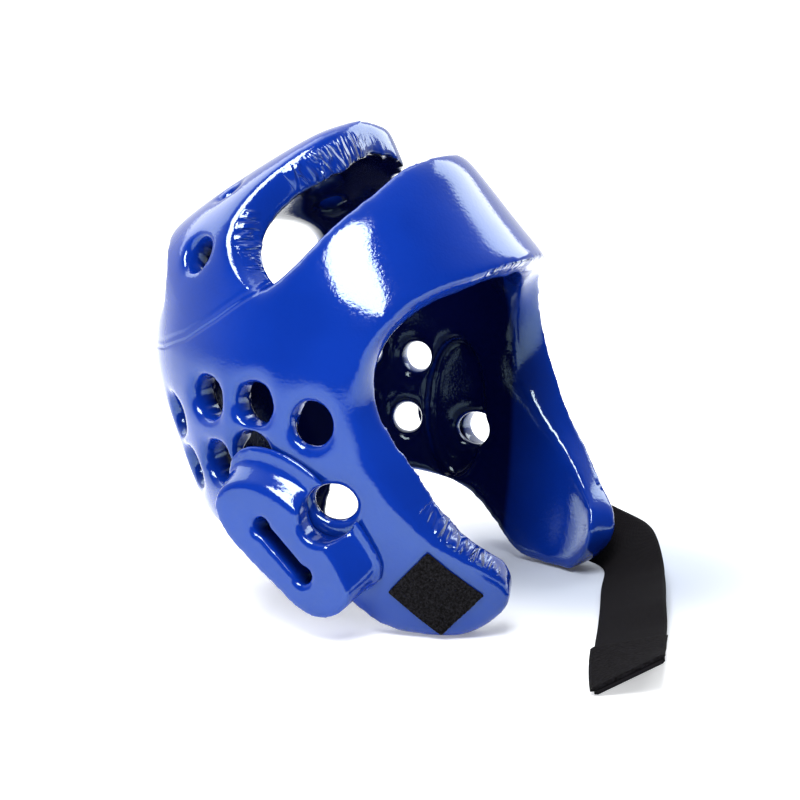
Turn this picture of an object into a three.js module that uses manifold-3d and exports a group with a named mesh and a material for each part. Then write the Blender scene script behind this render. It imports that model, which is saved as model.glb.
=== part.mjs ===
// Foam headgear for taekwondo, standing on a floor with its loose chin strap laid out in front.
// Millimetres. x runs to the wearer's left, y to the back of the head, z up from the floor.
// The modelling origin is on the floor midway between the ears; the finished group is moved so that
// its own origin is the middle of the bottom of its bounding box.
import * as THREE from 'three';
import { mergeVertices } from 'three/addons/utils/BufferGeometryUtils.js';
import Module from 'manifold-3d';

const wasm = await Module();
wasm.setup();

// Overall form of the moulded foam
const shellHeight = 240;
const halfWidth = 105;
const frontReach = 120;
const backReach = 120;
const browPeak = 5;
const foamWall = 18;

// Gap kept between pieces that touch
const glueGap = 0.3;

// Ear pads
const padFaceX = 118;
const padLength = 84;
const padGrow = 2;
const padFlangeWidth = 2.5;
const padFlangeLean = 0.6;
const padFlangeHeight = 4;
const padSlotLength = 40;
const padSlotLobe = 4.5;
const padSlotWaist = 3;
const padNotchRadius = 10;
const padNotchDrop = 5;

// Openings cut through the foam
const airHoleRadius = 11;
const leftAirHoleRadius = 9;
const crownHoleRadius = 9.5;
const topHoleRadius = 7;
const backVentHalfWidth = 74;
const backVentHalfHeight = 22;
const leftSetBack = 16;
const earHoleHalfLength = 12;
const earHoleHalfHeight = 9;
const earPocketDepth = 8;
const earPocketHeight = 78;
const earPocketLength = 36;

// Fastening
const patchLength = 31;
const patchWidth = 29;
const patchThickness = 1.6;
const strapWidth = 34;
const strapThickness = 1.8;
const strapLength = 256;
const tabLength = 60;
const tabThickness = 1.6;
const tabOverhang = 1.2;

// Fineness of the faceted solids
const segmentsAround = 50;
const levelsUp = 20;
const faceSections = 44;
const ventSections = 14;
const padSteps = 32;
const strapSteps = 44;

// A table is a list of rows under named columns.
function table(columns, rows) {
  return rows.map((row) => Object.fromEntries(columns.map((name, i) => [name, row[i]])));
}

// Level sections of the outer form. at: share of the height. centre: share of the back reach.
// width, front, back: shares of the half width and of the two reaches. square: roundness exponent.
// peak: share of the brow peak.
const formLevels = table(
  ['at', 'centre', 'width', 'front', 'back', 'square', 'peak'],
  [
    [-0.083, -0.017, 0.8, 0.933, 0.458, 2.8, 0],
    [0, 0, 0.857, 0.942, 0.525, 2.8, 0],
    [0.125, 0.017, 0.933, 0.992, 0.658, 2.8, 0],
    [0.25, 0.033, 0.981, 1, 0.778, 2.7, 0],
    [0.375, 0.05, 1, 0.967, 0.872, 2.6, 0],
    [0.5, 0.067, 1, 0.9, 0.945, 2.5, 0],
    [0.625, 0.1, 0.952, 0.833, 0.897, 2.3, 0.6],
    [0.688, 0.125, 0.914, 0.767, 0.887, 2.2, 1],
    [0.742, 0.15, 0.867, 0.7, 0.845, 2.1, 0.8],
    [0.792, 0.167, 0.8, 0.633, 0.717, 2.1, 0.6],
    [0.854, 0.183, 0.676, 0.558, 0.515, 2.1, 0.2],
    [0.925, 0.183, 0.476, 0.45, 0.285, 2.1, 0],
    [0.975, 0.167, 0.276, 0.27, 0.13, 2, 0],
    [0.992, 0.158, 0.165, 0.16, 0.075, 2, 0],
    [1, 0.15, 0.012, 0.012, 0.012, 2, 0],
  ],
);

// Edge of the face opening, from the middle of the brow down to the floor under the cheek.
// step: number of the row. o and i: a point of the outer and of the inner edge, with x in half
// widths, y in front reaches and z in heights. lead: how much further forward the left band reaches.
const faceEdge = table(
  ['step', 'ox', 'oy', 'oz', 'ix', 'iy', 'iz', 'lead'],
  [
    [0, 0, -0.625, 0.719, 0, -0.5, 0.671, 0],
    [1, 0.19, -0.6, 0.713, 0.143, -0.458, 0.667, 0],
    [2, 0.419, -0.554, 0.7, 0.305, -0.408, 0.646, 0],
    [3, 0.59, -0.483, 0.688, 0.486, -0.35, 0.625, 0],
    [4, 0.762, -0.4, 0.658, 0.638, -0.308, 0.596, 0.008],
    [5, 0.857, -0.342, 0.617, 0.733, -0.283, 0.567, 0.05],
    [6, 0.914, -0.292, 0.579, 0.781, -0.275, 0.537, 0.092],
    [7, 0.952, -0.267, 0.537, 0.81, -0.275, 0.5, 0.142],
    [8, 0.971, -0.25, 0.492, 0.829, -0.283, 0.467, 0.183],
    [9, 0.971, -0.25, 0.454, 0.838, -0.3, 0.433, 0.217],
    [10, 0.971, -0.267, 0.421, 0.838, -0.333, 0.4, 0.225],
    [11, 0.971, -0.283, 0.383, 0.829, -0.367, 0.371, 0.233],
    [12, 0.971, -0.317, 0.35, 0.81, -0.408, 0.342, 0.225],
    [13, 0.952, -0.367, 0.312, 0.781, -0.458, 0.304, 0.217],
    [14, 0.933, -0.433, 0.275, 0.724, -0.525, 0.267, 0.192],
    [15, 0.886, -0.542, 0.217, 0.638, -0.6, 0.225, 0.15],
    [16, 0.819, -0.658, 0.179, 0.571, -0.65, 0.192, 0.083],
    [17, 0.743, -0.742, 0.15, 0.514, -0.708, 0.163, 0.058],
    [18, 0.686, -0.8, 0.113, 0.476, -0.738, 0.129, 0.033],
    [19, 0.648, -0.804, 0.075, 0.467, -0.742, 0.092, 0.017],
    [20, 0.667, -0.758, 0.042, 0.486, -0.717, 0.054, 0],
    [21, 0.705, -0.692, 0.017, 0.524, -0.667, 0.021, 0],
    [22, 0.752, -0.617, 0, 0.571, -0.608, -0.004, 0],
    [23, 0.781, -0.533, -0.025, 0.6, -0.533, -0.033, 0],
    [24, 0.8, -0.433, -0.058, 0.619, -0.433, -0.067, 0],
    [25, 0.8, -0.3, -0.125, 0.619, -0.3, -0.133, 0],
  ],
);

// Crescent vent behind the forehead band, from the crown's middle out to its side corner.
// across: share of the half width. arch and band: outer edges as shares of the front reach and height.
// side: how far the cut has turned from facing down to facing inwards. lead: how much further forward
// the arch's left half reaches.
const ventEdge = table(
  ['across', 'archY', 'archZ', 'bandY', 'bandZ', 'side', 'lead'],
  [
    [0, 0.15, 0.992, -0.233, 0.933, 0, 0],
    [0.1, 0.15, 0.989, -0.23, 0.931, 0.02, 0.018],
    [0.19, 0.157, 0.979, -0.217, 0.925, 0.08, 0.035],
    [0.35, 0.208, 0.954, -0.175, 0.908, 0.28, 0.045],
    [0.47, 0.283, 0.921, -0.15, 0.879, 0.48, 0.035],
    [0.585, 0.358, 0.875, -0.108, 0.85, 0.68, 0.015],
    [0.705, 0.408, 0.821, -0.058, 0.817, 0.86, 0],
    [0.785, 0.417, 0.783, -0.017, 0.788, 0.97, 0],
    [0.84, 0.392, 0.75, 0.025, 0.754, 1, 0],
    [0.89, 0.325, 0.708, 0.117, 0.704, 1, 0],
    [0.93, 0.24, 0.677, 0.2, 0.673, 1, 0],
  ],
);

// Cut directions of the vent's two faces, from the outer edge inwards, over the crown and at the side,
// in wall thicknesses.
const archCutCrown = new THREE.Vector3(0, -0.44, -1);
const archCutSide = new THREE.Vector3(-1, -0.78, -0.22);
const bandCutCrown = new THREE.Vector3(0, 0.5, -0.89);
const bandCutSide = new THREE.Vector3(-1, 0.28, -0.22);

// Lower rim of the shell behind the cheeks. bearing: degrees from the front. outer, inner: heights.
const lowerRim = table(
  ['bearing', 'outer', 'inner'],
  [
    [20, 0, 0],
    [52, 0, 0],
    [62, 0, 0.012],
    [70, 0.008, 0.05],
    [77, 0.033, 0.092],
    [84, 0.079, 0.125],
    [91, 0.117, 0.15],
    [102, 0.146, 0.167],
    [118, 0.171, 0.179],
    [132, 0.183, 0.183],
    [142, 0.167, 0.167],
    [150, 0.121, 0.121],
    [157, 0.05, 0.05],
    [163, 0.008, 0.008],
    [169, 0, 0],
    [180, 0, 0],
  ],
);

// Round air holes of the right and of the left side. bearing: degrees from the front.
// at: share of the height.
const rightAirHoles = table(
  ['bearing', 'at', 'radius'],
  [
    [82, 0.425, airHoleRadius],
    [99, 0.454, airHoleRadius],
    [115, 0.454, airHoleRadius],
    [133, 0.396, airHoleRadius],
    [101, 0.354, airHoleRadius],
    [114, 0.321, airHoleRadius],
    [130, 0.29, airHoleRadius],
    [121, 0.742, crownHoleRadius],
    [132.5, 0.858, topHoleRadius],
  ],
);
const leftAirHoles = table(
  ['bearing', 'at', 'radius'],
  [
    [104, 0.433, leftAirHoleRadius],
    [121, 0.44, leftAirHoleRadius],
    [137, 0.42, leftAirHoleRadius],
    [109, 0.285, leftAirHoleRadius],
    [126, 0.31, leftAirHoleRadius],
    [121, 0.742, crownHoleRadius],
    [132.5, 0.858, topHoleRadius],
  ],
);
const earHolePlace = { bearing: 77.3, at: 0.27 };
const earPocketPlace = { bearing: 82, at: 0.32 };

// Glue seam of the crown panel, seen from the side: y in back reaches, z in heights.
const seamLine = table(
  ['y', 'z'],
  [
    [-0.25, 1.2],
    [-0.02, 0.93],
    [0.05, 0.865],
    [0.12, 0.83],
    [0.19, 0.79],
    [0.215, 0.73],
    [0.215, 0.676],
    [0.27, 0.66],
    [0.4, 0.617],
    [0.56, 0.571],
    [0.73, 0.542],
    [0.95, 0.525],
    [1.3, 0.52],
  ],
);

// Kidney outline of an ear pad, seen from the side, about its own middle, in pad lengths.
const padOutline = table(
  ['y', 'z'],
  [
    [0.44, 0.206],
    [0.41, 0.296],
    [0.344, 0.349],
    [0.27, 0.368],
    [0.148, 0.357],
    [0.026, 0.313],
    [-0.09, 0.24],
    [-0.2, 0.13],
    [-0.313, 0.013],
    [-0.381, -0.099],
    [-0.418, -0.192],
    [-0.418, -0.26],
    [-0.38, -0.311],
    [-0.31, -0.355],
    [-0.215, -0.373],
    [-0.088, -0.326],
    [0.033, -0.23],
    [0.181, -0.114],
    [0.35, 0.036],
    [0.414, 0.127],
  ],
);
const padMiddle = { y: 0.008, z: 0.179 };
const padLean = { y: -0.036, z: 0.095 };
const padSlotAngle = 0.76;

// Rectangular loop patch on the right cheek, seen from the side.
const patchMiddle = { y: -0.546, z: 0.096 };
const patchAngle = 0.76;

// Run of the chin strap's lower edge from the left cheek round to the floor in front.
// along: share of the strap's length. lift: height of the edge in strap widths. tilt: degrees that the
// webbing stands up from the floor. turn: heading in degrees, 0 along -y, 90 along -x.
const strapRun = table(
  ['along', 'turn', 'lift', 'tilt'],
  [
    [0, 13, 0.118, 77],
    [0.053, 19.5, 0.059, 64],
    [0.109, 28, 0.029, 46],
    [0.15, 45, 0.015, 43],
    [0.175, 64, 0.009, 43],
    [0.214, 73, 0.003, 36],
    [0.26, 74, 0, 28],
    [0.304, 72, 0, 21],
    [0.395, 69.5, 0, 17],
    [0.55, 71, 0, 18],
    [0.656, 72, 0, 11],
    [0.75, 71, 0, 12],
    [0.904, 68, 0, 20],
    [1, 65, 0, 28],
  ],
);
const strapStartY = -0.44;

const degree = Math.PI / 180;

// Values of a table at one place, through a smooth curve over its first column.
function sampler(rows) {
  const names = Object.keys(rows[0]).slice(1);
  const key = Object.keys(rows[0])[0];
  const places = rows.map((row) => row[key]);
  const values = rows.flatMap((row) => names.map((name) => row[name]));
  const spline = new THREE.CubicInterpolant(places, values, names.length);
  return (place) => {
    const found = Array.from(spline.evaluate(place));
    return Object.fromEntries(names.map((name, i) => [name, found[i]]));
  };
}

const formAt = sampler(formLevels);

// Point of the outer form at a bearing and a share of the height.
function formPoint(bearing, at) {
  const level = formAt(at);
  const side = Math.sin(bearing);
  const ahead = Math.cos(bearing);
  const reach = ahead >= 0 ? level.front * frontReach : level.back * backReach;
  const square = ahead >= 0 ? level.square : 2.3;
  const across = Math.abs(side / (level.width * halfWidth)) ** square;
  const along = Math.abs(ahead / reach) ** square;
  const turn = Math.atan2(Math.abs(side), ahead) / (28 * degree);
  const peak = level.peak * browPeak * Math.max(0, 1.14 - Math.hypot(turn, 0.14));
  const radius = (across + along) ** (-1 / square) + peak;
  return new THREE.Vector3(side * radius, level.centre * backReach - ahead * radius, at * shellHeight);
}

// Outward direction of the outer form at a bearing and a share of the height.
function formNormal(bearing, at) {
  const step = 0.004;
  const high = Math.min(at + step, 1);
  const around = formPoint(bearing + step, at).sub(formPoint(bearing - step, at));
  const up = formPoint(bearing, high).sub(formPoint(bearing, at - step));
  return around.cross(up).normalize();
}

// Closed solid through rings of points, each ring with the same number of points.
function loft(rings) {
  const count = rings[0].length;
  const positions = rings.flat().flatMap((point) => point.toArray());
  const ends = [rings[0], rings[rings.length - 1]];
  const middles = ends.map((ring) => ring.reduce((sum, p) => sum.add(p), new THREE.Vector3()).divideScalar(count));
  positions.push(...middles.flatMap((point) => point.toArray()));
  const bottom = rings.length * count;
  const top = bottom + 1;
  const last = (rings.length - 1) * count;
  const index = [];
  for (let i = 0; i < count; i += 1) {
    const next = (i + 1) % count;
    index.push(bottom, next, i);
    index.push(top, last + i, last + next);
    for (let ring = 0; ring < rings.length - 1; ring += 1) {
      const low = ring * count;
      const high = low + count;
      index.push(low + i, low + next, high + next);
      index.push(low + i, high + next, high + i);
    }
  }
  const geometry = new THREE.BufferGeometry();
  geometry.setAttribute('position', new THREE.Float32BufferAttribute(positions, 3));
  geometry.setIndex(index);
  return geometry;
}

// Solid for joining and cutting, turned the right way round.
function solid(geometry) {
  const bare = geometry.clone();
  bare.deleteAttribute('normal');
  bare.deleteAttribute('uv');
  const merged = mergeVertices(bare, 1e-4);
  const positions = merged.attributes.position;
  const index = Array.from(merged.index.array);
  const corners = [0, 1, 2].map(() => new THREE.Vector3());
  const kept = [];
  let volume = 0;
  for (let i = 0; i < index.length; i += 3) {
    const face = index.slice(i, i + 3);
    if (face[0] !== face[1] && face[1] !== face[2] && face[2] !== face[0]) {
      kept.push(...face);
      corners.forEach((corner, k) => corner.fromBufferAttribute(positions, face[k]));
      volume += corners[0].dot(corners[1].clone().cross(corners[2]));
    }
  }
  const triVerts = Uint32Array.from(kept);
  if (volume < 0) {
    triVerts.reverse();
  }
  const vertProperties = Float32Array.from(positions.array);
  return new wasm.Manifold(new wasm.Mesh({ numProp: 3, vertProperties, triVerts }));
}

// The moulded outer form as a solid, grown or shrunk by a distance along its surface directions. Its
// levels lie closer together towards the top of the crown.
function formSolid(grow) {
  const rings = [];
  for (let ring = 0; ring <= levelsUp; ring += 1) {
    const left = (1 - ring / levelsUp) ** 1.3;
    const at = THREE.MathUtils.lerp(1, formLevels[0].at, left);
    rings.push([]);
    for (let i = 0; i < segmentsAround; i += 1) {
      const bearing = (i / segmentsAround) * 2 * Math.PI;
      const point = formPoint(bearing, at);
      point.addScaledVector(formNormal(bearing, at), grow);
      rings[ring].push(point);
    }
  }
  const drop = grow < 0 ? foamWall : 0;
  rings[0].forEach((point) => point.setZ(point.z - drop));
  return solid(loft(rings));
}

// Prism of a side-view outline, from one x to another.
function sidePrism(points, fromX, toX) {
  const shape = new THREE.Shape(points.map((point) => new THREE.Vector2(point.y, point.z)));
  const geometry = new THREE.ExtrudeGeometry(shape, { depth: toX - fromX, bevelEnabled: false });
  const place = new THREE.Matrix4().set(0, 0, 1, fromX, 1, 0, 0, 0, 0, 1, 0, 0, 0, 0, 0, 1);
  return solid(geometry.applyMatrix4(place));
}

// Mirror image in the wearer's middle plane.
function mirrored(body) {
  return body.mirror([1, 0, 0]);
}

// Cutter of the face opening: a stack of sections whose sides run straight through both edges.
function faceCutter() {
  const wallShares = [-1.3, -0.4, 0.1, 0.6, 1.1, 1.8];
  const edgeAt = sampler(faceEdge);
  const last = faceEdge.length - 1;
  const sections = [];
  for (let i = 0; i <= faceSections; i += 1) {
    const row = edgeAt((i / faceSections) * last);
    const sides = [row.lead, 0].map((lead) => {
      const outer = new THREE.Vector3(row.ox * halfWidth, (row.oy - lead) * frontReach, row.oz * shellHeight);
      const inner = new THREE.Vector3(row.ix * halfWidth, row.iy * frontReach, row.iz * shellHeight);
      const line = wallShares.map((share) => inner.clone().lerp(outer, share));
      line.forEach((point) => point.setX(Math.max(point.x, 0)));
      const far = line[line.length - 1];
      return [...line, new THREE.Vector3(far.x, -1.4 * frontReach, far.z)];
    });
    const other = sides[1].map((point) => new THREE.Vector3(-point.x, point.y, point.z)).reverse();
    sections.push([...sides[0], ...other]);
  }
  return solid(loft(sections));
}

// One half of the crescent vent, as four-sided sections from the crown's middle to the side corner.
// side: 1 on the wearer's left, -1 on the right.
function ventHalf(side) {
  const beyond = 1;
  const within = 1.6;
  const edgeAt = sampler(ventEdge);
  const corner = ventEdge[ventEdge.length - 1].across;
  const sections = [];
  for (let i = 0; i <= ventSections; i += 1) {
    const across = corner * Math.sin(((i / ventSections) * Math.PI) / 2);
    const row = edgeAt(across);
    const x = across * halfWidth;
    const lead = side > 0 ? row.lead : 0;
    const arch = new THREE.Vector3(x, (row.archY - lead) * frontReach, row.archZ * shellHeight);
    const band = new THREE.Vector3(x, row.bandY * frontReach, row.bandZ * shellHeight);
    const archCut = archCutCrown.clone().lerp(archCutSide, row.side).multiplyScalar(foamWall);
    const bandCut = bandCutCrown.clone().lerp(bandCutSide, row.side).multiplyScalar(foamWall);
    const section = [
      arch.clone().addScaledVector(archCut, -beyond),
      band.clone().addScaledVector(bandCut, -beyond),
      band.clone().addScaledVector(bandCut, within),
      arch.clone().addScaledVector(archCut, within),
    ];
    sections.push(section.map((point) => point.setX(point.x * side)));
  }
  return sections;
}

// Cutter of the crescent vent, from one side corner over the crown to the other.
function ventCutter() {
  return solid(loft([...ventHalf(-1).slice(1).reverse(), ...ventHalf(1)]));
}

// Cutter below the shell's lower rim: a round curtain whose top follows the rim heights.
function rimCutter() {
  const rimAt = sampler(lowerRim);
  const nearRadius = 0.3 * halfWidth;
  const wallRadius = halfWidth - foamWall;
  const farRadius = 1.6 * halfWidth;
  const floor = -0.4 * shellHeight;
  const rings = [];
  for (let i = 0; i < segmentsAround; i += 1) {
    const bearing = (i / segmentsAround) * 2 * Math.PI;
    const fromFront = Math.abs(((bearing / degree + 180) % 360) - 180);
    const rim = rimAt(Math.max(fromFront, lowerRim[0].bearing));
    const direction = new THREE.Vector3(Math.sin(bearing), -Math.cos(bearing), 0);
    const at = (radius, height) => direction.clone().multiplyScalar(radius).setZ(height);
    const outer = Math.max(rim.outer, 0) * shellHeight;
    const inner = Math.max(rim.inner, 0) * shellHeight;
    rings.push([at(nearRadius, floor), at(farRadius, floor), at(farRadius, outer), at(halfWidth, outer),
      at(wallRadius, inner), at(nearRadius, inner)]);
  }
  return solid(closedLoft(rings));
}

// Closed ring of sections, without end caps.
function closedLoft(rings) {
  const count = rings[0].length;
  const index = [];
  rings.forEach((ring, r) => {
    const low = r * count;
    const high = ((r + 1) % rings.length) * count;
    ring.forEach((point, i) => {
      const next = (i + 1) % count;
      index.push(low + i, low + next, high + next);
      index.push(low + i, high + next, high + i);
    });
  });
  const geometry = new THREE.BufferGeometry();
  const positions = rings.flat().flatMap((point) => point.toArray());
  geometry.setAttribute('position', new THREE.Float32BufferAttribute(positions, 3));
  geometry.setIndex(index);
  return geometry;
}

// Oval opening in the back of the crown panel, which shows through the crescent vent. Its cut faces
// run straight out from the middle of the head. x, y and z: its middle in half widths, back reaches
// and heights, with y where the half width is measured.
const backVent = { x: 0.05, y: 0.75, z: 0.672, square: 2.6 };

function backVentCutter() {
  const steps = 48;
  const rings = [0.1, 1, 1.7].map((scale) => {
    const ring = [];
    for (let i = 0; i < steps; i += 1) {
      const turn = (i / steps) * 2 * Math.PI;
      const round = (Math.abs(Math.cos(turn)) ** backVent.square
        + Math.abs(Math.sin(turn)) ** backVent.square) ** (-1 / backVent.square);
      const x = backVent.x * halfWidth + Math.cos(turn) * round * backVentHalfWidth;
      const z = backVent.z * shellHeight + Math.sin(turn) * round * backVentHalfHeight;
      ring.push(new THREE.Vector3(x * scale, backVent.y * backReach * scale, z));
    }
    return ring;
  });
  return solid(loft(rings));
}

// Round or oval plug square to the surface at a place on the wearer's left.
function surfacePlug(place, halfAcross, halfUp, reachIn, reachOut) {
  const geometry = new THREE.CylinderGeometry(1, 1, reachIn + reachOut, 16);
  geometry.translate(0, (reachOut - reachIn) / 2, 0);
  geometry.scale(halfAcross, 1, halfUp);
  const bearing = place.bearing * degree;
  const outward = formNormal(bearing, place.at);
  const across = outward.clone().cross(new THREE.Vector3(0, 0, 1)).normalize();
  const up = across.clone().cross(outward);
  const frame = new THREE.Matrix4().makeBasis(across, outward, up);
  frame.setPosition(formPoint(bearing, place.at));
  return solid(geometry.applyMatrix4(frame));
}

// A place on the surface moved back by a distance.
function movedBack(place, distance) {
  return { ...place, bearing: place.bearing + distance / halfWidth / degree };
}

// Everything that is cut through one side of the foam: its air holes, and its ear hole and ear pocket
// moved back by a distance.
function sideCuts(airHoles, setBack) {
  const through = 2.2 * foamWall;
  const earHole = movedBack(earHolePlace, setBack);
  let cuts = surfacePlug(earHole, earHoleHalfLength, earHoleHalfHeight, through, foamWall);
  for (const hole of airHoles) {
    cuts = cuts.add(surfacePlug(hole, hole.radius, hole.radius, through, foamWall));
  }
  const pocketFloor = foamWall - earPocketDepth;
  const pocketPlace = movedBack(earPocketPlace, setBack);
  const pocket = surfacePlug(pocketPlace, earPocketLength / 2, earPocketHeight / 2, through, -pocketFloor);
  return cuts.add(pocket);
}

// Side-view region of the crown panel, drawn in from the seam by half the glue gap or out by it.
function crownRegion(shift) {
  const points = seamLine.map((row) => ({ y: row.y * backReach, z: row.z * shellHeight + shift }));
  points.push({ y: 1.3 * backReach, z: 1.3 * shellHeight });
  points.push({ y: -0.25 * backReach, z: 1.3 * shellHeight });
  return sidePrism(points, -2 * halfWidth, 2 * halfWidth);
}

function makeFoam() {
  return formSolid(0)
    .subtract(formSolid(-foamWall))
    .subtract(faceCutter())
    .subtract(ventCutter())
    .subtract(rimCutter())
    .subtract(backVentCutter())
    .subtract(sideCuts(leftAirHoles, leftSetBack))
    .subtract(mirrored(sideCuts(rightAirHoles, 0)));
}

// Smooth closed outline of a pad in the plane of an x, grown outwards by a distance and slid towards
// the foot of its front wall, which leans.
function padRing(x, grow, lean) {
  const scale = (padLength + 2 * grow) / padLength;
  const knots = padOutline.map((row) => new THREE.Vector3(0, row.y * padLength, row.z * padLength));
  const curve = new THREE.CatmullRomCurve3(knots, true, 'centripetal');
  const middle = new THREE.Vector3(x, padMiddle.y * frontReach, padMiddle.z * shellHeight);
  middle.add(new THREE.Vector3(0, padLean.y, padLean.z).multiplyScalar(lean * padLength));
  return curve.getSpacedPoints(padSteps).slice(0, padSteps).map((p) => p.multiplyScalar(scale).add(middle));
}

// Dog-bone slot through the pad: two round lobes joined by a narrow waist.
function padSlot() {
  const middle = { y: padMiddle.y * frontReach, z: padMiddle.z * shellHeight };
  const along = { y: Math.cos(padSlotAngle), z: Math.sin(padSlotAngle) };
  const reach = padSlotLength / 2 - padSlotLobe;
  const inner = halfWidth - foamWall;
  let slot = null;
  for (const end of [-1, 1]) {
    const lobe = new THREE.CylinderGeometry(padSlotLobe, padSlotLobe, 2 * foamWall, 16);
    lobe.rotateZ(Math.PI / 2);
    lobe.translate(padFaceX, middle.y + end * reach * along.y, middle.z + end * reach * along.z);
    slot = slot ? slot.add(solid(lobe)) : solid(lobe);
  }
  const waist = new THREE.BoxGeometry(padFaceX - inner + foamWall, 2 * reach, 2 * padSlotWaist);
  waist.rotateX(padSlotAngle);
  waist.translate(padFaceX, middle.y, middle.z);
  return slot.add(solid(waist));
}

// Left ear pad: a kidney block with a flange at its foot, seated on the shell, with a bite at the ear
// hole, which is moved back by a distance. The bite also reaches below the hole by a drop.
function makePad(setBack, drop) {
  const root = halfWidth - 2 * foamWall;
  const rise = padFaceX - halfWidth;
  const depth = (padFaceX - root) / rise;
  const block = solid(loft([padRing(root, padGrow * depth, depth), padRing(padFaceX, 0, 0)]));
  const skirt = [root, padFaceX].map((x) => padRing(x, padGrow + padFlangeWidth, 1 + padFlangeLean));
  const flange = solid(loft(skirt)).intersect(formSolid(padFlangeHeight));
  const hole = movedBack(earHolePlace, setBack);
  const notch = { ...hole, at: hole.at - drop / shellHeight };
  const bites = [hole, notch].map((place) =>
    surfacePlug(place, 1.2 * padNotchRadius, padNotchRadius, foamWall, 3 * foamWall));
  return block.add(flange).subtract(formSolid(glueGap)).subtract(bites[0]).subtract(bites[1]).subtract(padSlot());
}

// Left-hand copy of the loop patch, a thin sheet that follows the cheek.
function makePatch() {
  const middle = { y: patchMiddle.y * frontReach, z: patchMiddle.z * shellHeight };
  const corners = [[-1, -1], [1, -1], [1, 1], [-1, 1]].map(([a, b]) => {
    const u = (a * patchLength) / 2;
    const v = (b * patchWidth) / 2;
    const y = middle.y + u * Math.cos(patchAngle) - v * Math.sin(patchAngle);
    const z = middle.z + u * Math.sin(patchAngle) + v * Math.cos(patchAngle);
    return { y, z };
  });
  return sidePrism(corners, halfWidth - 2 * foamWall, 1.1 * halfWidth)
    .intersect(formSolid(glueGap + patchThickness))
    .subtract(formSolid(glueGap));
}

// Stations along the strap: place of its lower edge, direction across it and its upper face's direction.
function strapStations(steps) {
  const runAt = sampler(strapRun);
  const startY = strapStartY * frontReach;
  const heightShare = (strapRun[0].lift * strapWidth) / shellHeight;
  let bearing = 0;
  while (formPoint(bearing, heightShare).y < startY) {
    bearing += degree / 4;
  }
  const start = formPoint(bearing, heightShare);
  const place = new THREE.Vector2(start.x + 2 * glueGap + strapThickness, start.y);
  const stations = [];
  const stride = strapLength / steps;
  for (let i = 0; i <= steps; i += 1) {
    const row = runAt(i / steps);
    const turn = row.turn * degree;
    const tilt = row.tilt * degree;
    const heading = new THREE.Vector3(-Math.sin(turn), -Math.cos(turn), 0);
    const outward = new THREE.Vector3(Math.cos(turn), -Math.sin(turn), 0);
    const across = outward.clone().multiplyScalar(Math.cos(tilt)).setZ(Math.sin(tilt));
    const face = outward.clone().multiplyScalar(-Math.sin(tilt)).setZ(Math.cos(tilt));
    stations.push({ edge: new THREE.Vector3(place.x, place.y, Math.max(row.lift, 0) * strapWidth), across, face });
    place.x += heading.x * stride;
    place.y += heading.y * stride;
  }
  return stations;
}

// Band of a width and thickness over part of the strap's run, lifted off the webbing by a distance.
function bandSolid(stations, width, overhang, lift, thickness) {
  return loft(stations.map(({ edge, across, face }) => {
    const low = edge.clone().addScaledVector(across, -overhang).addScaledVector(face, lift);
    const high = low.clone().addScaledVector(across, width + 2 * overhang);
    return [low, high, high.clone().addScaledVector(face, thickness), low.clone().addScaledVector(face, thickness)];
  }));
}

function makeStrap() {
  return solid(bandSolid(strapStations(strapSteps), strapWidth, 0, 0, strapThickness));
}

function makeTab() {
  const stations = strapStations(strapSteps);
  const from = Math.round((1 - tabLength / strapLength) * strapSteps);
  const lift = strapThickness + glueGap;
  return solid(bandSolid(stations.slice(from), strapWidth, tabOverhang, lift, tabThickness));
}

const blueVinyl = new THREE.MeshStandardMaterial({ color: 0x0b2fb4, roughness: 0.18, metalness: 0 });
const loopPile = new THREE.MeshStandardMaterial({ color: 0x17181a, roughness: 0.95, metalness: 0 });
const blackWebbing = new THREE.MeshStandardMaterial({ color: 0x1b1b20, roughness: 0.85, metalness: 0 });
const hookTape = new THREE.MeshStandardMaterial({ color: 0x121315, roughness: 0.9, metalness: 0 });

const headgear = new THREE.Group();

function addPiece(name, body, material) {
  const cut = body.getMesh();
  const geometry = new THREE.BufferGeometry();
  geometry.setAttribute('position', new THREE.BufferAttribute(new Float32Array(cut.vertProperties), 3));
  geometry.setIndex(new THREE.BufferAttribute(new Uint32Array(cut.triVerts), 1));
  const mesh = new THREE.Mesh(geometry, material);
  mesh.name = name;
  headgear.add(mesh);
}

const foam = makeFoam();
addPiece('head_shell', foam.subtract(crownRegion(-glueGap / 2)), blueVinyl);
addPiece('crown_panel', foam.intersect(crownRegion(glueGap / 2)), blueVinyl);
addPiece('ear_pad_left', makePad(leftSetBack, 0), blueVinyl);
addPiece('ear_pad_right', mirrored(makePad(0, padNotchDrop)), blueVinyl);
addPiece('loop_patch', mirrored(makePatch()), loopPile);
addPiece('chin_strap', makeStrap(), blackWebbing);
addPiece('hook_tab', makeTab(), hookTape);

// The group's origin becomes the middle of the bottom of its bounding box.
const box = new THREE.Box3().setFromObject(headgear);
const middle = box.getCenter(new THREE.Vector3());
headgear.position.set(-middle.x, -middle.y, -box.min.z);

export default headgear;
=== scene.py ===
# %% [markdown]
# # Dipped-foam headgear on a studio floor
# The real object is moulded foam, dipped in vinyl until it has one thick glossy skin, with a webbing
# strap and a hook-and-loop closure. The frame gives the solids, and this lesson dresses them.

# %% Load the frame
import math
import bpy
import bmesh
import numpy as np
from mathutils import Matrix, Vector
from mathutils.bvhtree import BVHTree


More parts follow.
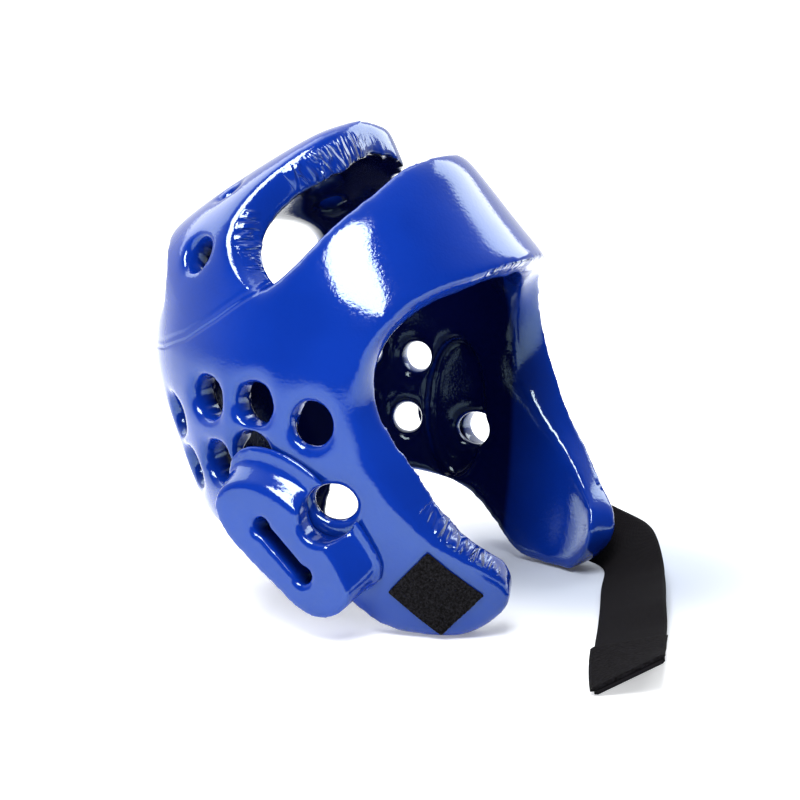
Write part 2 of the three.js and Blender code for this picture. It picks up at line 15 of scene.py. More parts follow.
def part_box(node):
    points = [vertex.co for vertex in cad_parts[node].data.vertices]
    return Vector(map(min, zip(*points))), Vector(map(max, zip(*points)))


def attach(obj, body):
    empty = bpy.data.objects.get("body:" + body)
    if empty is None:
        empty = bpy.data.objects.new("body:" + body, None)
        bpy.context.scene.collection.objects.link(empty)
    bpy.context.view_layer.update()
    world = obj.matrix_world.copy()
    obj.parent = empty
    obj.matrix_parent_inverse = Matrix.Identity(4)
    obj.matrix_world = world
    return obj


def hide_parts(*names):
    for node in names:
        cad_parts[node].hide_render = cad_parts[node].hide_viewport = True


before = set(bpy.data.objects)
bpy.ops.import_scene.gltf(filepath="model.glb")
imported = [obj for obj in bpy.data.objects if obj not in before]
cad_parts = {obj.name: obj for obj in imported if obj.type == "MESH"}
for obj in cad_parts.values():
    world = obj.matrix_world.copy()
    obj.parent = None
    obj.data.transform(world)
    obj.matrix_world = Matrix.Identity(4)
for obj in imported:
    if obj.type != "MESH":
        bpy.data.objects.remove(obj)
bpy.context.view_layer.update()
scene = bpy.context.scene
print("frame nodes:", sorted(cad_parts))

# %% [markdown]
# ## Camera
# A product photograph is taken with a long lens, so that near and far parts keep their proportions.
# The camera could be placed by eye, but here its angle, distance and focal length were fitted to the
# outline in the photograph, and a small shift puts the aim where the picture has it.

# %% Place the camera
MM = 0.001
pad_left, pad_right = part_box("ear_pad_left"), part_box("ear_pad_right")
# The middle of the head lies half-way between the pads, and this far in front of the crown's back.
CROWN_REACH = 121.34 * MM
MID_X = (pad_left[1].x + pad_right[0].x) / 2
MID_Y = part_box("crown_panel")[1].y - CROWN_REACH
camera_data = bpy.data.cameras.new("camera")
camera_data.lens, camera_data.sensor_width = 93.0, 36.0
camera_data.shift_x, camera_data.shift_y = 0.0074, 0.068
camera = bpy.data.objects.new("camera", camera_data)
scene.collection.objects.link(camera)
azimuth, elevation, distance = math.radians(63.4), math.radians(11.7), 1.069
aim = Vector((MID_X, MID_Y, 68 * MM))
back = Vector((-math.sin(azimuth) * math.cos(elevation),
               -math.cos(azimuth) * math.cos(elevation),
               math.sin(elevation)))
camera.location = aim + back * distance
camera.rotation_mode = "QUATERNION"
camera.rotation_quaternion = (-back).to_track_quat("-Z", "Y")
scene.camera = camera
print("camera at", [round(c, 3) for c in camera.location])

# %% [markdown]
# ## Material helpers
# Every finish below is a small tree of nodes. A helper that makes a node, sets its values and links its
# inputs keeps the trees short enough to read as a list of steps.

# %% Node helpers
def new_material(name):
    material = bpy.data.materials.new(name)
    material.use_nodes = True
    tree = material.node_tree
    return material, tree, tree.nodes["Principled BSDF"]


def node(tree, kind, inputs=None, **settings):
    made = tree.nodes.new(kind)
    for key, value in settings.items():
        setattr(made, key, value)
    for key, value in (inputs or {}).items():
        if isinstance(value, bpy.types.NodeSocket):
            tree.links.new(value, made.inputs[key])
        else:
            made.inputs[key].default_value = value
    return made


def math_node(tree, operation, first, second=0.0):
    return node(tree, "ShaderNodeMath", {0: first, 1: second}, operation=operation).outputs[0]


def ramp(tree, value, low, high, to_low=0.0, to_high=1.0):
    made = node(tree, "ShaderNodeMapRange", {"Value": value, "From Min": low, "From Max": high,
                                             "To Min": to_low, "To Max": to_high})
    made.interpolation_type = "SMOOTHSTEP"
    return made.outputs["Result"]


def srgb(red, green, blue):
    def linear(c):
        c = c / 255
        return c / 12.92 if c <= 0.04045 else ((c + 0.055) / 1.055) ** 2.4
    return (linear(red), linear(green), linear(blue), 1.0)

# %% [markdown]
# ## Mesh helpers
# A mesh can be edited point by point in a loop, but a skin this fine has some hundred thousand points.
# So numbers move between Blender and numpy in flat arrays, and the work is done on whole arrays.

# %% Mesh helpers
def vertices_of(mesh):
    flat = np.empty(len(mesh.vertices) * 3)
    mesh.vertices.foreach_get("co", flat)
    return flat.reshape(-1, 3)


def edges_of(mesh):
    flat = np.empty(len(mesh.edges) * 2, np.int32)
    mesh.edges.foreach_get("vertices", flat)
    return flat.reshape(-1, 2)


def normals_of(mesh):
    flat = np.empty(len(mesh.vertices) * 3)
    mesh.vertices.foreach_get("normal", flat)
    return flat.reshape(-1, 3)


def neighbour_mean(values, edges, degree):
    columns = []
    for column in values.reshape(len(values), -1).T:
        total = np.bincount(edges[:, 0], column[edges[:, 1]], len(column))
        total += np.bincount(edges[:, 1], column[edges[:, 0]], len(column))
        columns.append(total / degree)
    return np.stack(columns, 1).reshape(values.shape)


def store(mesh, name, values):
    layer = mesh.attributes.new(name, "FLOAT", "POINT")
    layer.data.foreach_set("value", np.ascontiguousarray(values, np.float32))


def finish_piece(piece, material, slot_name, *replaced):
    scene.collection.objects.link(piece)
    piece.data.materials.clear()
    piece.data.materials.append(material)
    piece.data.polygons.foreach_set("use_smooth", [True] * len(piece.data.polygons))
    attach(piece, "root")
    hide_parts(*replaced)
    print(piece.name, "triangles:", sum(len(p.vertices) - 2 for p in piece.data.polygons))

# %% [markdown]
# ## One skin over the foam
# The dip covers the shell and the crown together, so the real object shows one skin with a groove where
# they were glued. A boolean union would keep the facets and sharp edges of the solids. Here copies of
# them are pushed together until the glue gap closes, and a voxel remesh gives even points to smooth.

# %% Join and remesh solids
def gathered(nudges):
    gathered_mesh = bmesh.new()
    for name, nudge in nudges.items():
        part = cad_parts[name].data.copy()
        part.transform(Matrix.Translation(nudge))
        gathered_mesh.from_mesh(part)
        bpy.data.meshes.remove(part)
    bmesh.ops.remove_doubles(gathered_mesh, verts=gathered_mesh.verts, dist=1e-6)
    mesh = bpy.data.meshes.new("gathered")
    gathered_mesh.to_mesh(mesh)
    gathered_mesh.free()
    return mesh


def remeshed(mesh, voxel, name):
    source = bpy.data.objects.new("source", mesh)
    scene.collection.objects.link(source)
    remesh = source.modifiers.new("voxels", "REMESH")
    remesh.mode = "VOXEL"
    remesh.voxel_size = voxel
    remesh.adaptivity = 0
    depsgraph = bpy.context.evaluated_depsgraph_get()
    result = bpy.data.meshes.new_from_object(source.evaluated_get(depsgraph))
    bpy.data.objects.remove(source)
    result.name = name
    print(name, "voxel points:", len(result.vertices))
    return result

# %% [markdown]
# ## Rounding
# Vinyl flows while it is wet and pulls every cut edge round. A bevel needs clean edge loops, which the
# remesh doesn't have, so the points are averaged with their neighbours: a few passes everywhere round
# the edges, and then many passes on the broad faces alone take the facets out of them. How calm a point
# is comes from how much its normal differs from its neighbours', blurred so that no edge turns ragged.

# %% Round the edges and smooth the broad faces
FLAT_BEND, SHARP_BEND = 0.012, 0.032
WIDEN_PASSES, BLUR_PASSES = 4, 12
STEP = 0.5


def softened(mesh, edge_passes, face_passes, last_passes):
    points, edges = vertices_of(mesh), edges_of(mesh)
    degree = np.bincount(edges.ravel(), minlength=len(points)).astype(float)
    for _ in range(edge_passes):
        points += STEP * (neighbour_mean(points, edges, degree) - points)
    mesh.vertices.foreach_set("co", points.ravel())
    mesh.update()
    normals = normals_of(mesh)
    bend = np.linalg.norm(normals - neighbour_mean(normals, edges, degree), axis=1)
    calm = 1 - np.clip((bend - FLAT_BEND) / (SHARP_BEND - FLAT_BEND), 0, 1)
    for _ in range(WIDEN_PASSES):
        calm = np.minimum(calm, neighbour_mean(calm, edges, degree))
    for _ in range(BLUR_PASSES):
        calm = neighbour_mean(calm, edges, degree)
    for _ in range(face_passes):
        points += STEP * calm[:, None] * (neighbour_mean(points, edges, degree) - points)
    for _ in range(last_passes):
        points += STEP * (neighbour_mean(points, edges, degree) - points)
    points[:, 2] = np.maximum(points[:, 2], 0)
    mesh.vertices.foreach_set("co", points.ravel())
    mesh.update()
    print(mesh.name, "vertices:", len(points), "calm share:", round(float(calm.mean()), 3))
    return mesh


SHELL_VOXEL, PAD_VOXEL = 1.4 * MM, 1.0 * MM
CLOSE_SEAM, PRESS_PAD = 0.5 * MM, 0.6 * MM
# The pads are pressed this far towards the shell, and the crown forwards and down onto it.
shell_solids = {"head_shell": (0, 0, 0), "crown_panel": (0, -CLOSE_SEAM, -CLOSE_SEAM)}
SHELL_PASSES, PAD_PASSES = (8, 90, 6), (3, 40, 2)
body_mesh = softened(remeshed(gathered(shell_solids), SHELL_VOXEL, "foam_body"), *SHELL_PASSES)
pad_meshes = {}
for node_name, mesh_name, push in (("ear_pad_left", "pad_left", -PRESS_PAD),
                                   ("ear_pad_right", "pad_right", PRESS_PAD)):
    pad_solid = gathered({node_name: (push, 0, 0)})
    pad_meshes[node_name] = softened(remeshed(pad_solid, PAD_VOXEL, mesh_name), *PAD_PASSES)

# %% [markdown]
# ## What the skin needs to know
# The wrinkles sit only on the cut walls, where the wet skin gathered, and the glue seam runs round the
# crown. Both are easier to draw in the material than in the mesh, if each point knows how far it is
# from them, so these numbers are stored on the mesh as attributes.

# %% Distance to the glue seam
# Points of the seam in mm, seen from the side: behind the middle of the head, and up from the floor.
SEAM = np.array([(-30, 288), (-2.4, 223.2), (6, 207.6), (14.4, 199.2), (22.8, 189.6), (25.8, 175.2),
                 (25.8, 162.2), (32.4, 158.4), (48, 148), (67.2, 137), (87.6, 130), (114, 126),
                 (156, 124.8)]) * MM
SEAM += (MID_Y, 0)


def distance_to_line(y, z, line):
    nearest = np.full(len(y), 1e3)
    for start, end in zip(line[:-1], line[1:]):
        run = end - start
        share = np.clip(((y - start[0]) * run[0] + (z - start[1]) * run[1]) / run.dot(run), 0, 1)
        gap_y, gap_z = y - start[0] - share * run[0], z - start[1] - share * run[1]
        side = np.sign(run[0] * gap_z - run[1] * gap_y)
        gap = np.hypot(gap_y, gap_z)
        nearest = np.where(gap < np.abs(nearest), side * gap, nearest)
    return nearest


print("seam length in mm:", round(float(np.hypot(*np.diff(SEAM, axis=0).T).sum()) / MM))

# %% Where the skin gathers
# The foam behind the face opening has a darker inner skin, which starts at one upright line, and painted
# shade that fades in towards that line and stays full behind it.
LINING_START, PAINTED_SHADE_FADE = MID_Y - 30 * MM, 34 * MM
# Runs of the edges where the wet skin gathered most: reach in mm, then points in mm from the floor
# under the middle of the head.
GATHERED_EDGES = [
    (19, [(-52, 15, 220), (-34, 6, 230), (-12, -6, 233), (10, -10, 232)]),
    (15, [(-80, 46, 194), (-91, 33, 177)]),
    (17, [(-97, -52, 68), (-96, -59, 60), (-84, -82, 38)]),
    (8, [(-103, -30, 128), (-103, -33, 108)]),
    (13, [(-24, -70, 174), (4, -72, 175)]),
    (9, [(84, -82, 40), (84, -88, 30)]),
]


def gathers_at(points):
    """How strongly the skin gathers at each point, and how far along its edge that point is."""
    strength, along = np.zeros(len(points)), np.zeros(len(points))
    gone = 0.0
    for reach, run_points in GATHERED_EDGES:
        run_points = np.array(run_points) * MM + (MID_X, MID_Y, 0)
        for start, end in zip(run_points[:-1], run_points[1:]):
            run = end - start
            length = np.linalg.norm(run)
            place = (points - start) @ run / length
            nearest = start + np.clip(place / length, 0, 1)[:, None] * run
            near = np.clip(1.3 - np.linalg.norm(points - nearest, axis=1) / (reach * MM), 0, 1)
            along = np.where(near > strength, gone + place, along)
            strength = np.maximum(strength, near)
            gone += length
    return strength, along


print("runs of gathered skin:", len(GATHERED_EDGES))

# %% Store the facts on the foam
HEAD_MIDDLE = np.array((MID_X, MID_Y, 105 * MM))
WALL_FACING, WALL_BLUR = 0.6, 3
LINING_STEP = 3 * MM


def store_skin_facts(mesh):
    points, edges, normals = vertices_of(mesh), edges_of(mesh), normals_of(mesh)
    degree = np.bincount(edges.ravel(), minlength=len(points)).astype(float)
    outwards = points - HEAD_MIDDLE
    outwards /= np.linalg.norm(outwards, axis=1)[:, None]
    facing = (normals * outwards).sum(1)
    wall = 1 - np.clip(np.abs(facing) / WALL_FACING, 0, 1)
    for _ in range(WALL_BLUR):
        wall = neighbour_mean(wall, edges, degree)
    # Painted shade: it fades in towards the start line and stays full behind it, and the darker inner skin
    # adds a short step at that line.
    fade = np.clip(1 + (points[:, 1] - LINING_START) / PAINTED_SHADE_FADE, 0, 1)
    behind = 0.6 * fade + 0.4 * np.clip((points[:, 1] - LINING_START) / LINING_STEP + 0.5, 0, 1)
    strength, along = gathers_at(points)
    store(mesh, "cut_wall", wall)
    store(mesh, "outer", np.clip(facing * 3, 0, 1))
    store(mesh, "seam", distance_to_line(points[:, 1], points[:, 2], SEAM))
    # The darker inner skin together with painted shade, on the faces that look inwards.
    store(mesh, "lining_and_shade", behind * np.clip(-facing * 2.5 - 0.4, 0, 1))
    store(mesh, "gather", strength)
    store(mesh, "along", along)


for mesh in (body_mesh, *pad_meshes.values()):
    store_skin_facts(mesh)
print("attributes:", sorted(layer.name for layer in body_mesh.attributes if not layer.name.startswith(".")))

# %% [markdown]
# ## Glossy blue vinyl
# The skin is thick plastic with its pigment in it: smooth, but a little wavy and peeled like paint. A
# clear coat over a matt base would also shine, but one dielectric layer with a low roughness is what
# vinyl is. The wrinkles, the ripple and the seam are bumps, one on top of the other.

# %% Vinyl colours and sizes
# The dark navy stands for the darker inner skin together with painted shade on the inside.
BLUE_DARK, BLUE_LIGHT, LINING_AND_SHADE_BLUE = srgb(5, 39, 130), srgb(7, 43, 138), srgb(3, 6, 44)
GLOSS_TINT = (0.6, 0.9, 1.0, 1)
VINYL_IOR, OUTER_SPECULAR, LINING_SPECULAR = 1.58, 0.5, 0.16
SMOOTH, DULL = 0.06, 0.11
FLOW_DEPTH, PEEL_DEPTH, WRINKLE_DEPTH, GROOVE_DEPTH = 0.6 * MM, 0.09 * MM, 2 * MM, 0.4 * MM
WRINKLES_ALONG, WRINKLES_ACROSS, FOLD_WIDTH = 170.0, 48.0, 0.15
GROOVE_PLACE, GROOVE_HALF, LIP_PLACE, LIP_HALF, LIP_SHARE = 1.2 * MM, 1.6 * MM, 2.2 * MM, 2.2 * MM, 0.5
PATTERN_MIDDLE = (MID_X, MID_Y, 85 * MM)

# %% Vinyl material
def make_vinyl():
    material, tree, shader = new_material("glossy_blue_vinyl")
    place = node(tree, "ShaderNodeTexCoord").outputs["Object"]
    centred = node(tree, "ShaderNodeVectorMath", {0: place, 1: PATTERN_MIDDLE},
                   operation="SUBTRACT").outputs[0]
    cut, seam, outer, lining_and_shade, gather, along = (
        node(tree, "ShaderNodeAttribute", attribute_name=name).outputs["Fac"]
        for name in ("cut_wall", "seam", "outer", "lining_and_shade", "gather", "along"))

    flow = node(tree, "ShaderNodeTexNoise", {"Vector": centred, "Scale": 22.0, "Detail": 2.0,
                                             "Roughness": 0.4})
    peel = node(tree, "ShaderNodeTexNoise", {"Vector": centred, "Scale": 620.0, "Detail": 2.0,
                                             "Roughness": 0.5})

    # Wrinkles run across the wall, so their noise changes quickly along the edge and slowly across it.
    height = node(tree, "ShaderNodeVectorMath", {0: centred}, operation="LENGTH").outputs["Value"]
    run = node(tree, "ShaderNodeCombineXYZ",
               {0: math_node(tree, "MULTIPLY", along, WRINKLES_ALONG),
                1: math_node(tree, "MULTIPLY", height, WRINKLES_ACROSS)}).outputs[0]
    wrinkles = node(tree, "ShaderNodeTexNoise", {"Vector": run, "Scale": 1.0, "Detail": 1.5,
                                                 "Roughness": 0.5, "Distortion": 0.7})
    folds = math_node(tree, "ABSOLUTE", math_node(tree, "SUBTRACT", wrinkles.outputs["Fac"], 0.5))
    ridges = ramp(tree, folds, 0.0, FOLD_WIDTH)
    where = math_node(tree, "MULTIPLY", ramp(tree, gather, 0.1, 0.7), ramp(tree, cut, 0.1, 0.5))

    # The seam is a groove with a lower lip beside it, on the outer face alone.
    from_groove = math_node(tree, "ABSOLUTE", math_node(tree, "ADD", seam, GROOVE_PLACE))
    groove = math_node(tree, "MULTIPLY", outer, ramp(tree, from_groove, 0.0, GROOVE_HALF, 1.0, 0.0))
    from_lip = math_node(tree, "ABSOLUTE", math_node(tree, "SUBTRACT", seam, LIP_PLACE))
    lip = math_node(tree, "MULTIPLY", outer, ramp(tree, from_lip, 0.0, LIP_HALF, LIP_SHARE, 0.0))
    groove = math_node(tree, "ADD", groove, lip)

    surface = node(tree, "ShaderNodeBump", {"Height": flow.outputs["Fac"], "Distance": FLOW_DEPTH,
                                            "Strength": 0.5})
    surface = node(tree, "ShaderNodeBump", {"Height": peel.outputs["Fac"], "Distance": PEEL_DEPTH,
                                            "Strength": 0.7, "Normal": surface.outputs[0]})
    surface = node(tree, "ShaderNodeBump", {"Height": math_node(tree, "MULTIPLY", ridges, where),
                                            "Distance": WRINKLE_DEPTH, "Strength": 1.0,
                                            "Normal": surface.outputs[0]})
    surface = node(tree, "ShaderNodeBump", {"Height": groove, "Distance": GROOVE_DEPTH, "Strength": 0.8,
                                            "Normal": surface.outputs[0]}, invert=True)
    tree.links.new(surface.outputs[0], shader.inputs["Normal"])
    shade = node(tree, "ShaderNodeMix", {"Factor": ramp(tree, flow.outputs["Fac"], 0.35, 0.65),
                                         "A": BLUE_DARK, "B": BLUE_LIGHT}, data_type="RGBA")
    # Inside, the base colour is mixed towards the dark navy: the darker inner skin and painted shade.
    inner = node(tree, "ShaderNodeMix", {"Factor": lining_and_shade, "A": shade.outputs["Result"],
                                         "B": LINING_AND_SHADE_BLUE}, data_type="RGBA")
    tree.links.new(inner.outputs["Result"], shader.inputs["Base Color"])
    tree.links.new(ramp(tree, peel.outputs["Fac"], 0.3, 0.7, SMOOTH, DULL), shader.inputs["Roughness"])
    specular = ramp(tree, lining_and_shade, 0.0, 1.0, OUTER_SPECULAR, LINING_SPECULAR)
    tree.links.new(specular, shader.inputs["Specular IOR Level"])
    shader.inputs["IOR"].default_value = VINYL_IOR
    shader.inputs["Specular Tint"].default_value = GLOSS_TINT
    return material


vinyl = make_vinyl()
body = bpy.data.objects.new("foam_body", body_mesh)
finish_piece(body, vinyl, "dipped_foam", *shell_solids)
for node_name, mesh in pad_meshes.items():
    pad = bpy.data.objects.new(node_name + "_foam", mesh)
    finish_piece(pad, vinyl, "dipped_foam", node_name)

# %% [markdown]
# ## Chin strap
# The strap is a flat woven band that leaves the cheek on edge and lies down on the floor. A curve with a
# bevel would twist where the band turns over. So its run is a short table of headings, lifts and leans,
# the same as in the solids, and a flat outline is swept along it, with both its edges drawn in a little.

# %% Strap run
STRAP_LENGTH, STRAP_WIDTH, STRAP_THICKNESS = 256 * MM, 34 * MM, 1.8 * MM
TAB_LENGTH, TAB_THICKNESS, TAB_OVERHANG = 60 * MM, 1.6 * MM, 1.2 * MM
GLUE_GAP = 0.3 * MM
STRAP_START = Vector((MID_X + 89.2 * MM, MID_Y - 52.8 * MM))
STRAP_STEPS, SMOOTHED_OVER = 160, 4
# Share of the length, heading in degrees, height of the edge in mm, lean from the floor in degrees.
STRAP_RUN = np.array([
    (0, 13, 4, 77), (0.053, 19.5, 2, 64), (0.109, 28, 1, 46), (0.15, 45, 0.5, 43), (0.175, 64, 0.3, 43),
    (0.214, 73, 0.1, 36), (0.26, 74, 0, 28), (0.304, 72, 0, 21), (0.395, 69.5, 0, 17), (0.55, 71, 0, 18),
    (0.656, 72, 0, 11), (0.75, 71, 0, 12), (0.904, 68, 0, 20), (1, 65, 0, 28),
])


def strap_stations(steps):
    at = np.linspace(0, 1, steps + 1)
    turn, lift, tilt = (np.interp(at, STRAP_RUN[:, 0], STRAP_RUN[:, k]) for k in (1, 2, 3))
    window = 2 * SMOOTHED_OVER + 1
    for values in (turn, tilt):
        padded = np.pad(values, SMOOTHED_OVER, mode="edge")
        values[:] = np.convolve(padded, np.ones(window) / window, "valid")
    turn, tilt = np.radians(turn), np.radians(tilt)
    stations, place = [], STRAP_START.copy()
    for k in range(steps + 1):
        heading = Vector((-math.sin(turn[k]), -math.cos(turn[k])))
        outward = Vector((math.cos(turn[k]), -math.sin(turn[k]), 0))
        across = outward * math.cos(tilt[k]) + Vector((0, 0, math.sin(tilt[k])))
        face = outward * -math.sin(tilt[k]) + Vector((0, 0, math.cos(tilt[k])))
        stations.append((Vector((place.x, place.y, lift[k] * MM)), across, face))
        place += heading * (STRAP_LENGTH / steps)
    return stations


stations = strap_stations(STRAP_STEPS)
print("strap run in mm:", round(STRAP_LENGTH / MM), "in", STRAP_STEPS, "steps")

# %% Sweep a band
EDGE_SHARE = 0.42


def band(name, stations, width, overhang, lift, thickness, columns=24):
    """A swept band with thinned edges, and its length and width in metres as its UV map."""
    mesh = bmesh.new()
    uv = mesh.loops.layers.uv.new("band")
    below = []
    for k in range(columns + 1):
        place = (width + 2 * overhang) * k / columns - overhang
        below.append((place, thickness * EDGE_SHARE if k in (0, columns) else 0))
    profile = [(place, thickness - inset) for place, inset in below] + below[::-1]
    rings, gone = [], 0.0
    for k, (edge, across, face) in enumerate(stations):
        if k:
            gone += (edge - stations[k - 1][0]).length
        rings.append((gone, [mesh.verts.new(edge + across * a + face * (lift + h)) for a, h in profile]))
    count = len(profile)
    for (u0, low), (u1, high) in zip(rings[:-1], rings[1:]):
        for i in range(count):
            j = (i + 1) % count
            face = mesh.faces.new((low[i], low[j], high[j], high[i]))
            for loop, (u, v) in zip(face.loops, ((u0, profile[i][0]), (u0, profile[j][0]),
                                                 (u1, profile[j][0]), (u1, profile[i][0]))):
                loop[uv].uv = (u, v)
    for (u, ring), flip in ((rings[0], False), (rings[-1], True)):
        half = count // 2
        for i in range(half - 1):
            quad = (ring[i], ring[i + 1], ring[count - 2 - i], ring[count - 1 - i])
            face = mesh.faces.new(quad[::-1] if flip else quad)
            for loop in face.loops:
                loop[uv].uv = (u, 0)
    bmesh.ops.recalc_face_normals(mesh, faces=mesh.faces)
    data = bpy.data.meshes.new(name)
    mesh.to_mesh(data)
    mesh.free()
    return bpy.data.objects.new(name, data)

# %% [markdown]
# ## Webbing
# Strap webbing is woven in ribs along its length, too fine to model as threads. A picture of a weave
# would do, but two sine waves on the band's own UV map, in metres, give ribs of the true size anywhere.

# %% Webbing finish
RIB_WIDTH, PICK_LENGTH, WEAVE_DEPTH = 1.1 * MM, 1.4 * MM, 0.2 * MM


def make_webbing():
    material, tree, shader = new_material("black_webbing")
    uv = node(tree, "ShaderNodeUVMap", uv_map="band").outputs[0]
    parts = node(tree, "ShaderNodeSeparateXYZ", {0: uv})
    ribs = math_node(tree, "SINE", math_node(tree, "MULTIPLY", parts.outputs["Y"], math.tau / RIB_WIDTH))
    picks = math_node(tree, "SINE", math_node(tree, "MULTIPLY", parts.outputs["X"], math.tau / PICK_LENGTH))
    weave = math_node(tree, "MULTIPLY", ribs, picks)
    dust = node(tree, "ShaderNodeTexNoise", {"Vector": uv, "Scale": 900.0, "Detail": 2.0})
    height = math_node(tree, "ADD", weave, math_node(tree, "MULTIPLY", dust.outputs["Fac"], 1.2))
    bump = node(tree, "ShaderNodeBump", {"Height": height, "Distance": WEAVE_DEPTH, "Strength": 0.8})
    tree.links.new(bump.outputs[0], shader.inputs["Normal"])
    shade = node(tree, "ShaderNodeMix", {"Factor": ramp(tree, height, -0.8, 1.6),
                                         "A": srgb(3, 3, 5), "B": srgb(15, 15, 19)}, data_type="RGBA")
    tree.links.new(shade.outputs["Result"], shader.inputs["Base Color"])
    shader.inputs["Roughness"].default_value = 0.8
    shader.inputs["Specular IOR Level"].default_value = 0.06
    return material


strap = band("chin_strap_webbing", stations, STRAP_WIDTH, 0, 0, STRAP_THICKNESS)
finish_piece(strap, make_webbing(), "webbing", "chin_strap")

# %% [markdown]
# ## Hook and loop
# The tab is a field of stiff hooks and the patch a pile of soft loops, both dull black. Hair particles
# could stand for them, but at this size only a rough grain shows, so noise less a cell pattern is enough.

# %% Hook and loop finish
def make_tape(name, dark, light, grain, depth):
    material, tree, shader = new_material(name)
    place = node(tree, "ShaderNodeTexCoord").outputs["Object"]
    fuzz = node(tree, "ShaderNodeTexNoise", {"Vector": place, "Scale": grain, "Detail": 3.0,
                                             "Roughness": 0.7})
    clumps = node(tree, "ShaderNodeTexVoronoi", {"Vector": place, "Scale": grain * 0.9})
    height = math_node(tree, "SUBTRACT", fuzz.outputs["Fac"], clumps.outputs["Distance"])
    bump = node(tree, "ShaderNodeBump", {"Height": height, "Distance": depth, "Strength": 1.0})
    tree.links.new(bump.outputs[0], shader.inputs["Normal"])
    shade = node(tree, "ShaderNodeMix", {"Factor": ramp(tree, fuzz.outputs["Fac"], 0.35, 0.7),
                                         "A": dark, "B": light}, data_type="RGBA")
    tree.links.new(shade.outputs["Result"], shader.inputs["Base Color"])
    shader.inputs["Roughness"].default_value = 0.9
    shader.inputs["Specular IOR Level"].default_value = 0.06
    return material


tab_start = round((1 - TAB_LENGTH / STRAP_LENGTH) * STRAP_STEPS)
tab = band("hook_tape", stations[tab_start:], STRAP_WIDTH, TAB_OVERHANG,
           STRAP_THICKNESS + GLUE_GAP, TAB_THICKNESS)
hook_tape = make_tape("hook_tape", srgb(2, 2, 3), srgb(20, 20, 24), 700.0, 0.6 * MM)
finish_piece(tab, hook_tape, "hook_tape", "hook_tab")

# %% [markdown]
# ## Loop patch
# The patch is a thin square sewn or glued on the cheek, and it bends with it. Blender's Shrinkwrap could
# lay it there, but it takes both faces to one height. Here each point looks for the nearest foam, and its
# own normal says whether it belongs to the upper or the lower face.

# %% Loop patch
LOOP_GAP, LOOP_HEIGHT, SIDE_FACING, PATCH_VOXEL = 0.25 * MM, 1.7 * MM, 0.3, 0.6 * MM


def laid_on(mesh, ground_mesh):
    """Move a thin sheet's two faces to their heights over the softened foam, so that it lies on it."""
    ground = BVHTree.FromPolygons([v.co for v in ground_mesh.vertices],
                                  [p.vertices for p in ground_mesh.polygons])
    points, normals = vertices_of(mesh), normals_of(mesh)
    for k, (point, normal) in enumerate(zip(points, normals)):
        nearest, up, _, away = ground.find_nearest(Vector(point))
        side = up.dot(Vector(normal))
        height = min(max(away, LOOP_GAP), LOOP_HEIGHT)
        if abs(side) > SIDE_FACING:
            height = LOOP_HEIGHT if side > 0 else LOOP_GAP
        points[k] = nearest + up * height
    mesh.vertices.foreach_set("co", points.ravel())
    mesh.update()
    return mesh


patch_mesh = remeshed(gathered({"loop_patch": (0, 0, 0)}), PATCH_VOXEL, "loop_tape")
patch = bpy.data.objects.new("loop_tape", laid_on(patch_mesh, body_mesh))
loop_pile = make_tape("loop_tape", srgb(2, 2, 3), srgb(30, 30, 34), 900.0, 0.7 * MM)
finish_piece(patch, loop_pile, "loop_pile", "loop_patch")

# %% [markdown]
# ## Studio
# A pale floor runs past the horizon, so that the picture has one plain ground. Glossy vinyl shows what
# is round it, so a picture of a studio wrapped round the scene would light it, but couldn't be moved lamp
# by lamp. Here the lamps are large soft boxes, set where their mirror images fall in the photograph.

# %% Floor
FLOOR_REACH, FLOOR_DROP = 12.0, 0.4 * MM
# Painted shadow on the floor: a shaded colour and a faint glow near the cheeks, a lit colour and the full
# glow further off.
SHADED, LIT = (0.40, 0.45, 0.54, 1), (0.88, 0.89, 0.90, 1)
FAINT_GLOW, FULL_GLOW = 0.05, 0.95

floor_mesh = bpy.data.meshes.new("floor")
floor_corners = [(-FLOOR_REACH, -FLOOR_REACH, 0), (FLOOR_REACH, -FLOOR_REACH, 0),
                 (FLOOR_REACH, FLOOR_REACH, 0), (-FLOOR_REACH, FLOOR_REACH, 0)]
floor_mesh.from_pydata(floor_corners, [], [(0, 1, 2, 3)])
floor = bpy.data.objects.new("floor", floor_mesh)
scene.collection.objects.link(floor)
floor_material, floor_tree, floor_shader = new_material("studio_floor")
floor_shader.inputs["Roughness"].default_value = 0.7
floor_shader.inputs["Emission Color"].default_value = (0.97, 0.98, 1.0, 1)
floor_place = node(floor_tree, "ShaderNodeTexCoord").outputs["Object"]
# Painted shadow: the floor's colour and glow are darkest between the cheeks, where the foam keeps the light
# off it.
between_cheeks = (MID_X + 70 * MM, MID_Y - 90 * MM, 0)
from_cheeks = node(floor_tree, "ShaderNodeVectorMath", {0: floor_place, 1: between_cheeks},
                   operation="DISTANCE").outputs["Value"]
floor_glow = ramp(floor_tree, from_cheeks, 70 * MM, 300 * MM, FAINT_GLOW, FULL_GLOW)
floor_tree.links.new(floor_glow, floor_shader.inputs["Emission Strength"])
floor_shade = node(floor_tree, "ShaderNodeMix", {"Factor": ramp(floor_tree, from_cheeks, 40 * MM, 170 * MM),
                                                 "A": SHADED, "B": LIT}, data_type="RGBA")
floor_tree.links.new(floor_shade.outputs["Result"], floor_shader.inputs["Base Color"])
floor_mesh.materials.append(floor_material)
floor.location.z = -FLOOR_DROP
print("floor reaches", FLOOR_REACH, "m each way")

# %% Lamps
LAMP_AIM = Vector((MID_X, MID_Y, 120 * MM))


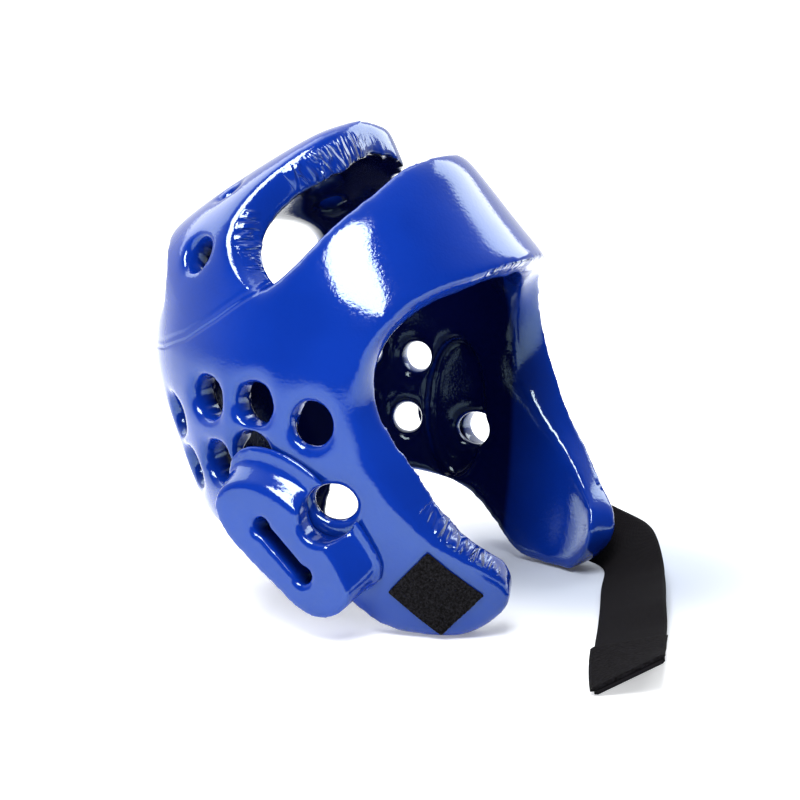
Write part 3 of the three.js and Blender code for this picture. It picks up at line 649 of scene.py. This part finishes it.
def soft_box(name, azimuth_deg, elevation_deg, metres, size, power, colour=(1, 1, 1)):
    light = bpy.data.lights.new(name, "AREA")
    light.shape, light.size, light.size_y = "RECTANGLE", size[0], size[1]
    light.energy, light.color = power, colour
    lamp = bpy.data.objects.new(name, light)
    scene.collection.objects.link(lamp)
    az, el = math.radians(azimuth_deg), math.radians(elevation_deg)
    towards = Vector((math.sin(az) * math.cos(el), -math.cos(az) * math.cos(el), math.sin(el)))
    lamp.location = LAMP_AIM + towards * metres
    lamp.rotation_euler = (-towards).to_track_quat("-Z", "Y").to_euler()
    return lamp


# Name, azimuth and elevation in degrees, distance and size in metres, power in watts.
soft_box("key", -73, 56, 1.5, (0.66, 1.0), 34)
# The blue vinyl tints what it mirrors, so the key has a warm twin for the gloss alone, and stays white.
key_shine = soft_box("key_shine", -73, 56, 1.499, (0.66, 1.0), 34, (1, 0.65, 0.55))
key_shine.visible_diffuse = False
soft_box("front_left", 71, 33, 1.8, (0.7, 1.0), 11)
soft_box("top", 120, 68, 1.9, (1.2, 0.7), 4)
soft_box("rear", 165, 40, 2.0, (1.4, 1.4), 16)
print("lamps:", sorted(light.name for light in bpy.data.lights))

# %% [markdown]
# ## Sky
# The sky is white behind the object and dark behind the camera, as in a studio with one lit wall. A plain
# white sky would wash out the blue, because glossy vinyl mirrors it everywhere, so its strength fades
# with the angle from the middle of the lit wall.

# %% Sky
DARK_SIDE, LIT_SIDE = 0.07, 1.15
world = bpy.data.worlds.new("studio")
scene.world = world
world.use_nodes = True
world_tree = world.node_tree
WALL_AZIMUTH, WALL_ELEVATION = math.radians(135), math.radians(8)
wall_direction = (math.sin(WALL_AZIMUTH) * math.cos(WALL_ELEVATION),
                  -math.cos(WALL_AZIMUTH) * math.cos(WALL_ELEVATION), math.sin(WALL_ELEVATION))
sky_place = node(world_tree, "ShaderNodeTexCoord").outputs["Generated"]
towards_wall = node(world_tree, "ShaderNodeVectorMath", {0: sky_place, 1: wall_direction},
                    operation="DOT_PRODUCT").outputs["Value"]
sky = world_tree.nodes["Background"]
sky.inputs["Color"].default_value = (0.96, 0.98, 1.0, 1)
sky_strength = ramp(world_tree, towards_wall, -0.2, 0.7, DARK_SIDE, LIT_SIDE)
world_tree.links.new(sky_strength, sky.inputs["Strength"])
scene.view_settings.view_transform = "Standard"
print("sky strength from", DARK_SIDE, "to", LIT_SIDE)
